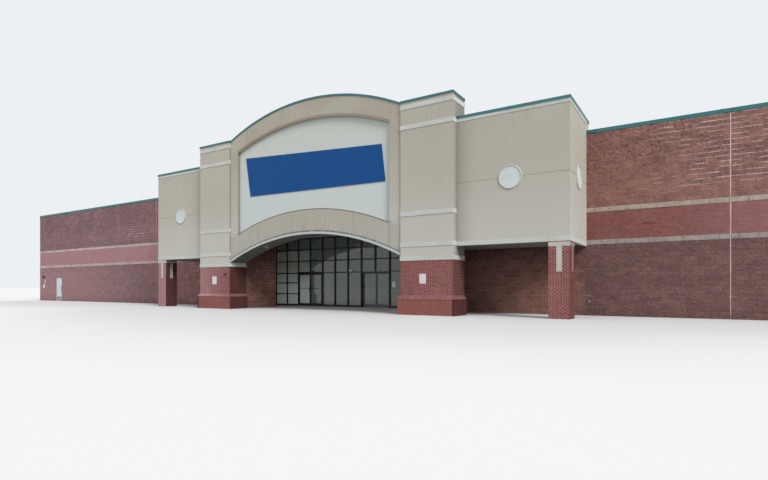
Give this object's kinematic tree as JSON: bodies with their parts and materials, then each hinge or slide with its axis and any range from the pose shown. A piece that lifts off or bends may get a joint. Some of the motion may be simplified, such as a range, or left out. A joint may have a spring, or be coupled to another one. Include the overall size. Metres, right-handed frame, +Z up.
{
  "type": "supermarket building, 1:2 scale model",
  "caption": "Supermarket building at half size: masonry hall with belt courses, stucco entrance portal with an arched parapet and recessed sign field, wings over porches, glazed storefront.",
  "frame": {"origin": "middle of the base, halfway between the building's ends and between the front of the tower plinths and the rear coping", "axes": "+X to the right along the front, +Y to the rear, +Z up"},
  "size_m": [37.03, 25.9214, 5.52],
  "materials": {
    "concrete": "matt",
    "split_block": "rough",
    "smooth_brick": "matt",
    "pale_masonry": "matt",
    "stucco": "matt",
    "pale_trim": "matt",
    "sign_field": "matt",
    "coping_metal": "satin",
    "frame_metal": "satin",
    "glass": "gloss",
    "white_paint": "satin",
    "steel": "matt",
    "roof_sheet": "matt",
    "light_lens": "satin"
  },
  "bodies": {
    "building": {"floor_slab": "concrete", "door_sills": "concrete", "hall_columns": "steel", "roof_deck": "roof_sheet", "front_block_wall": "split_block", "front_brick_wall": "smooth_brick", "front_belts": "pale_masonry", "exit_lintel": "split_block", "wall_over_storefront": "split_block", "right_block_wall": "split_block", "right_brick_wall": "smooth_brick", "right_belts": "pale_masonry", "rear_block_wall": "split_block", "rear_brick_wall": "smooth_brick", "rear_belts": "pale_masonry", "party_wall": "split_block", "front_coping": "coping_metal", "rear_coping": "coping_metal", "side_copings": "coping_metal", "tower_bases": "smooth_brick", "tower_shafts": "stucco", "tower_bands": "pale_trim", "arch_wall": "stucco", "sign_panel": "sign_field", "arch_trim": "pale_trim", "portal_coping": "coping_metal", "porch_side_walls": "smooth_brick", "porch_ceiling": "stucco", "entrance_roof": "roof_sheet", "wing_fronts": "stucco", "wing_returns": "stucco", "wing_soffits": "stucco", "wing_bands": "pale_trim", "wing_copings": "coping_metal", "medallions": "pale_trim", "corner_columns": "smooth_brick", "column_inlays": "pale_masonry", "soffit_lights": "light_lens", "storefront_frame": "frame_metal", "transom_frame": "frame_metal", "storefront_glass": "glass", "slider_header": "frame_metal", "exit_frame": "white_paint"},
    "swing_leaf_left": {"swing_door_left": "frame_metal", "swing_glass_left": "glass"},
    "swing_leaf_right": {"swing_door_right": "frame_metal", "swing_glass_right": "glass"},
    "sliding_leaf_left": {"sliding_door_left": "frame_metal", "sliding_glass_left": "glass"},
    "sliding_leaf_right": {"sliding_door_right": "frame_metal", "sliding_glass_right": "glass"},
    "exit_leaf": {"exit_door": "white_paint"}
  },
  "joints": [
    {"name": "swing_left", "type": "hinge", "parent": "building", "child": "swing_leaf_left", "pos_m": [-1.876, -11.02925, 0.05], "axis": [0, 0, -1], "range_deg": [0, 90]},
    {"name": "swing_right", "type": "hinge", "parent": "building", "child": "swing_leaf_right", "pos_m": [-0.968, -11.02925, 0.05], "axis": [0, 0, 1], "range_deg": [0, 90]},
    {"name": "slide_left", "type": "slide", "parent": "building", "child": "sliding_leaf_left", "axis": [-1, 0, 0], "range_m": [0, 0.425]},
    {"name": "slide_right", "type": "slide", "parent": "building", "child": "sliding_leaf_right", "axis": [1, 0, 0], "range_m": [0, 0.425]},
    {"name": "exit_swing", "type": "hinge", "parent": "building", "child": "exit_leaf", "pos_m": [-16.89, -11.04425, 0.05], "axis": [0, 0, -1], "range_deg": [0, 90]}
  ],
  "couplings": [
    {"joint": "slide_right", "follows": "slide_left", "ratio": 1}
  ]
}
